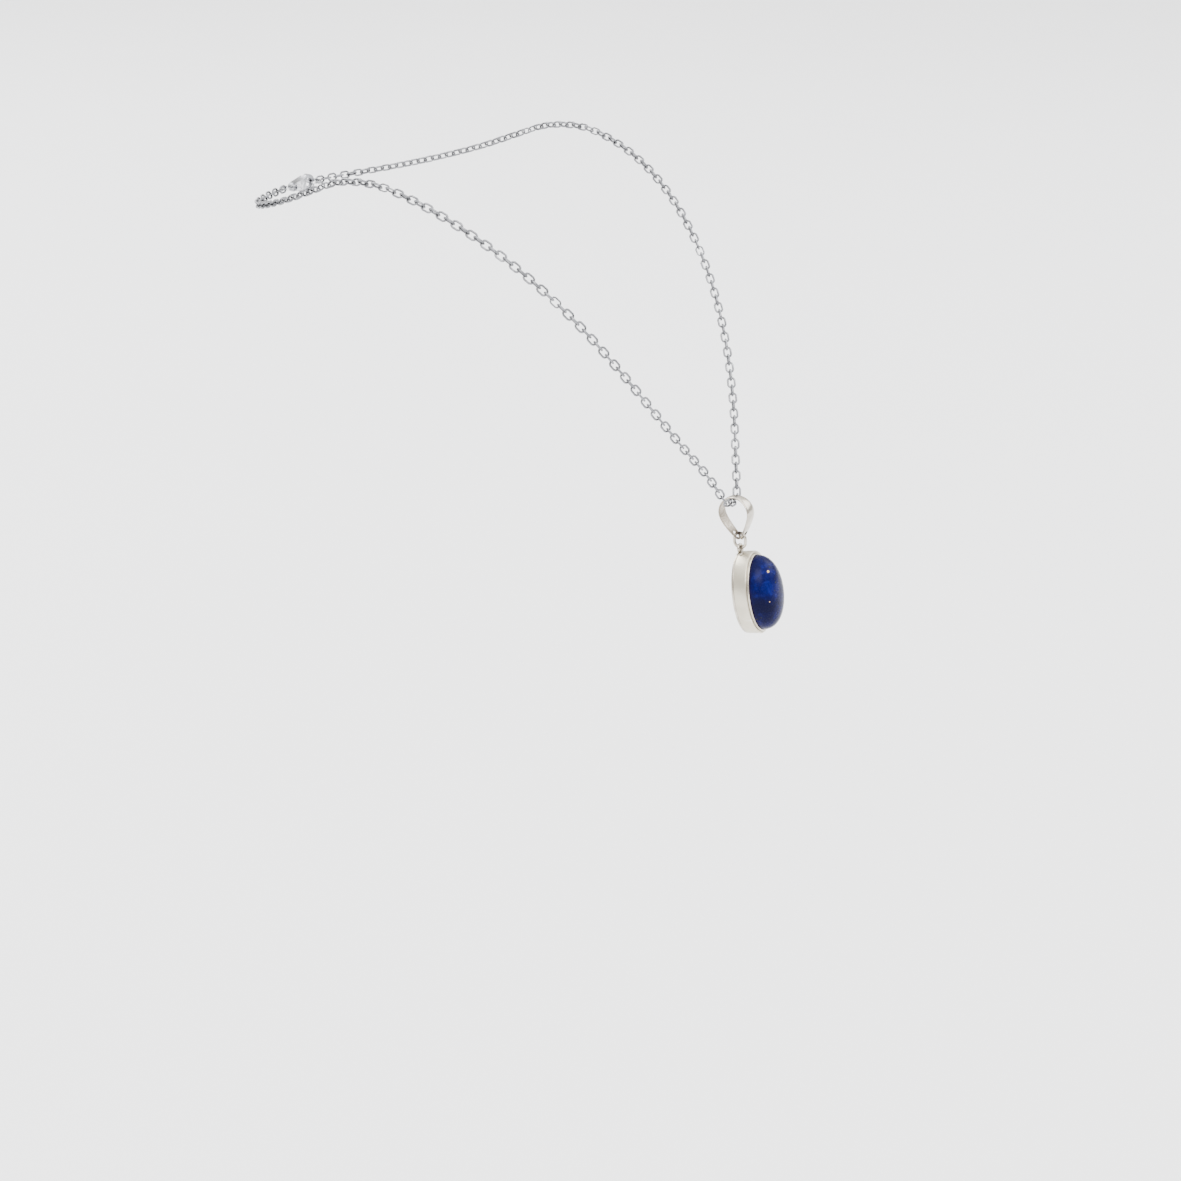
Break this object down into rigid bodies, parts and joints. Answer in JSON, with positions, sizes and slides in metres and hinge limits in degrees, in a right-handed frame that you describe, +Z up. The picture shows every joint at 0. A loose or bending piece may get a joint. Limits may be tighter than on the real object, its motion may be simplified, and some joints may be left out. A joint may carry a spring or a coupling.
{
  "type": "pendant necklace",
  "caption": "Cable-chain necklace draped as worn, with a claw clasp, a teardrop bail, a drop ring and an oval blue cabochon in a plain box bezel.",
  "frame": {"origin": "middle of the chain's centre line at the back of the neck", "axes": "+Z up, the wearer faces -Y, +X to the wearer's left"},
  "size_m": [0.093, 0.1617, 0.115],
  "materials": {
    "chain_metal": "polished",
    "silver": "polished",
    "clasp_metal": "polished",
    "lapis": "polished"
  },
  "bodies": {
    "neck_chain": {"right_shoulder_chain": "chain_metal", "right_shoulder_link_back": "chain_metal", "right_nape_link_front": "chain_metal", "left_shoulder_chain": "chain_metal", "left_shoulder_link_back": "chain_metal", "left_nape_link_front": "chain_metal"},
    "front_upper": {"right_upper_chain": "chain_metal", "right_shoulder_link_front": "chain_metal", "right_bend_link_upper": "chain_metal", "left_upper_chain": "chain_metal", "left_shoulder_link_front": "chain_metal", "left_bend_link_upper": "chain_metal"},
    "front_lower": {"centre_link": "chain_metal", "right_lower_chain": "chain_metal", "right_bend_link_lower": "chain_metal", "right_bail_link_1": "chain_metal", "right_bail_link_2": "chain_metal", "right_bail_link_3": "chain_metal", "right_bail_link_4": "chain_metal", "right_bail_link_5": "chain_metal", "right_bail_link_6": "chain_metal", "right_bail_link_7": "chain_metal", "right_bail_link_8": "chain_metal", "left_lower_chain": "chain_metal", "left_bend_link_lower": "chain_metal", "left_bail_link_1": "chain_metal", "left_bail_link_2": "chain_metal", "left_bail_link_3": "chain_metal", "left_bail_link_4": "chain_metal", "left_bail_link_5": "chain_metal", "left_bail_link_6": "chain_metal", "left_bail_link_7": "chain_metal", "left_bail_link_8": "chain_metal"},
    "bail": {"bail": "silver"},
    "drop_ring": {"drop_ring": "silver"},
    "pendant": {"bezel_back_plate": "silver", "bezel_wall": "silver", "bezel_lip": "silver", "cabochon_stone": "lapis", "bezel_loop": "silver"},
    "nape_chain": {"right_nape_chain": "chain_metal", "right_nape_link_back": "chain_metal", "right_clasp_link_1": "chain_metal", "right_clasp_link_2": "chain_metal", "right_clasp_link_3": "chain_metal", "left_nape_chain": "chain_metal", "left_nape_link_back": "chain_metal", "left_clasp_link_1": "chain_metal", "left_clasp_link_2": "chain_metal", "left_clasp_link_3": "chain_metal", "clasp_ring": "clasp_metal", "end_ring": "clasp_metal"},
    "clasp": {"clasp_body": "clasp_metal", "clasp_pin": "clasp_metal", "clasp_spring": "clasp_metal"},
    "clasp_lever": {"clasp_lever": "clasp_metal"}
  },
  "joints": [
    {"name": "front_lift", "type": "hinge", "parent": "neck_chain", "child": "front_upper", "pos_m": [0, -0.06892, 0.01716], "axis": [-1, 0, 0], "range_deg": [0, 45]},
    {"name": "front_bend", "type": "hinge", "parent": "front_upper", "child": "front_lower", "pos_m": [0, -0.11132, -0.0068], "axis": [-1, 0, 0], "range_deg": [0, 45]},
    {"name": "bail_swing", "type": "hinge", "parent": "front_lower", "child": "bail", "pos_m": [0, -0.1438, -0.06105], "axis": [-1, 0, 0], "range_deg": [0, 100]},
    {"name": "ring_swing", "type": "hinge", "parent": "bail", "child": "drop_ring", "pos_m": [0, -0.14663, -0.06903], "axis": [0, 0.9962, -0.0872], "range_deg": [-30, 30]},
    {"name": "pendant_swing", "type": "hinge", "parent": "drop_ring", "child": "pendant", "pos_m": [0, -0.1468, -0.07224], "axis": [-0.9962, -0.0848, 0.0204], "range_deg": [0, 55]},
    {"name": "nape_lift", "type": "hinge", "parent": "neck_chain", "child": "nape_chain", "pos_m": [0, -0.04757, 0.01448], "axis": [1, 0, 0], "range_deg": [0, 45]},
    {"name": "clasp_roll", "type": "hinge", "parent": "nape_chain", "child": "clasp", "pos_m": [0.0005, -0.00052, 0], "axis": [1, 0, 0], "range_deg": [-20, 20]},
    {"name": "lever_press", "type": "hinge", "parent": "clasp", "child": "clasp_lever", "pos_m": [-0.0014, -0.00052, -0.0005], "axis": [0, -1, 0], "range_deg": [0, 25], "stiffness_Nm_per_rad": 0.0002, "springref_deg": -20.05}
  ]
}
